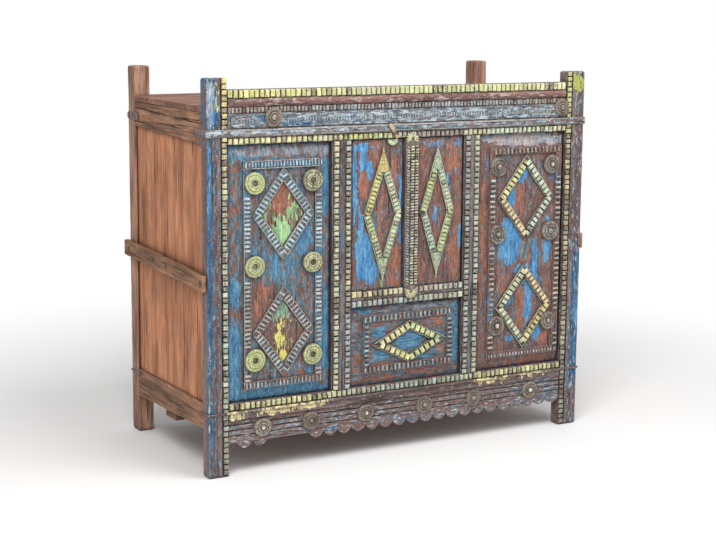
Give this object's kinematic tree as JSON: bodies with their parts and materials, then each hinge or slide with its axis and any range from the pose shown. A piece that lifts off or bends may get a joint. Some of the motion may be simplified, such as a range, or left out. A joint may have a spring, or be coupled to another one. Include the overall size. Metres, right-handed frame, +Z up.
{
  "type": "carved dowry cabinet",
  "caption": "Four-post wooden cabinet on legs with a carved, painted front of raised diamond panels, beaded strips and turned discs round a small pair of pivot-hung doors.",
  "frame": {"origin": "bottom centre of the cabinet's bounding box, on the floor", "axes": "+X to the cabinet's right as seen from the front, -Y the way the carved front faces, +Z up"},
  "size_m": [1.396, 0.667, 1.213],
  "materials": {
    "painted_frame": "worn blue paint over brown wood",
    "painted_panel": "worn blue paint over brown wood",
    "painted_door": "brown wood with worn blue paint",
    "painted_beads": "worn cream, yellow and green paint",
    "painted_moulding": "worn purple-grey wood",
    "pale_discs": "worn yellow-green paint, turned",
    "dark_discs": "dark turned wood with cream knobs",
    "bare_side_wood": "bare weathered teak",
    "bare_post_wood": "bare weathered hardwood",
    "latch_wood": "bare pale wood",
    "iron": "rusted dark iron"
  },
  "bodies": {
    "carcass": {"back_boards": "bare_side_wood", "base_moulding": "painted_moulding", "base_returns": "painted_moulding", "base_ridge": "painted_moulding", "batten_left": "bare_side_wood", "batten_nails": "iron", "batten_right": "bare_side_wood", "bead_row_frieze": "painted_beads", "bead_strip_crest": "painted_beads", "bead_strip_lintel": "painted_beads", "bead_strip_sill": "painted_beads", "bead_strips_cross": "painted_beads", "bead_strips_muntin_left": "painted_beads", "bead_strips_muntin_right": "painted_beads", "bead_strips_posts": "painted_beads", "belt_moulding": "painted_moulding", "belt_returns": "painted_moulding", "crest_torus": "painted_moulding", "discs_panel_left": "pale_discs", "discs_panel_right": "dark_discs", "door_stops": "bare_side_wood", "floor_bearer": "bare_side_wood", "floor_boards": "bare_side_wood", "floor_ledgers": "bare_side_wood", "latch_nail": "iron", "muntin_left": "painted_frame", "muntin_right": "painted_frame", "panel_front_left": "painted_panel", "panel_front_lower": "painted_panel", "panel_front_right": "painted_panel", "post_front_left": "painted_frame", "post_front_right": "painted_frame", "post_rear_left": "bare_post_wood", "post_rear_right": "bare_post_wood", "rail_back_bottom": "bare_side_wood", "rail_back_top": "bare_side_wood", "rail_cross": "painted_frame", "rail_front_bottom": "painted_frame", "rail_front_top": "painted_frame", "rosettes_apron": "dark_discs", "rosettes_frieze": "dark_discs", "side_board_top_left": "bare_side_wood", "side_board_top_right": "bare_side_wood", "side_boards_left": "bare_side_wood", "side_boards_right": "bare_side_wood", "side_rail_lower_left": "bare_side_wood", "side_rail_lower_right": "bare_side_wood", "side_rail_upper_left": "bare_side_wood", "side_rail_upper_right": "bare_side_wood", "top_bearer": "bare_side_wood", "top_boards": "bare_side_wood"},
    "left_door": {"door_left": "painted_door", "door_nail": "iron", "half_rosette": "pale_discs"},
    "right_door": {"door_right": "painted_door", "astragal": "painted_beads", "staple": "iron"},
    "turn_latch": {"latch": "latch_wood"}
  },
  "joints": [
    {"name": "left_door_hinge", "type": "hinge", "parent": "carcass", "child": "left_door", "pos_m": [-0.1825, -0.2985, 0.766], "axis": [0, 0, -1], "range_deg": [0, 90]},
    {"name": "right_door_hinge", "type": "hinge", "parent": "carcass", "child": "right_door", "pos_m": [0.2025, -0.2985, 0.766], "axis": [0, 0, 1], "range_deg": [0, 90]},
    {"name": "latch_turn", "type": "hinge", "parent": "carcass", "child": "turn_latch", "pos_m": [-0.052, -0.3275, 1.021], "axis": [0, -1, 0], "continuous": true}
  ]
}
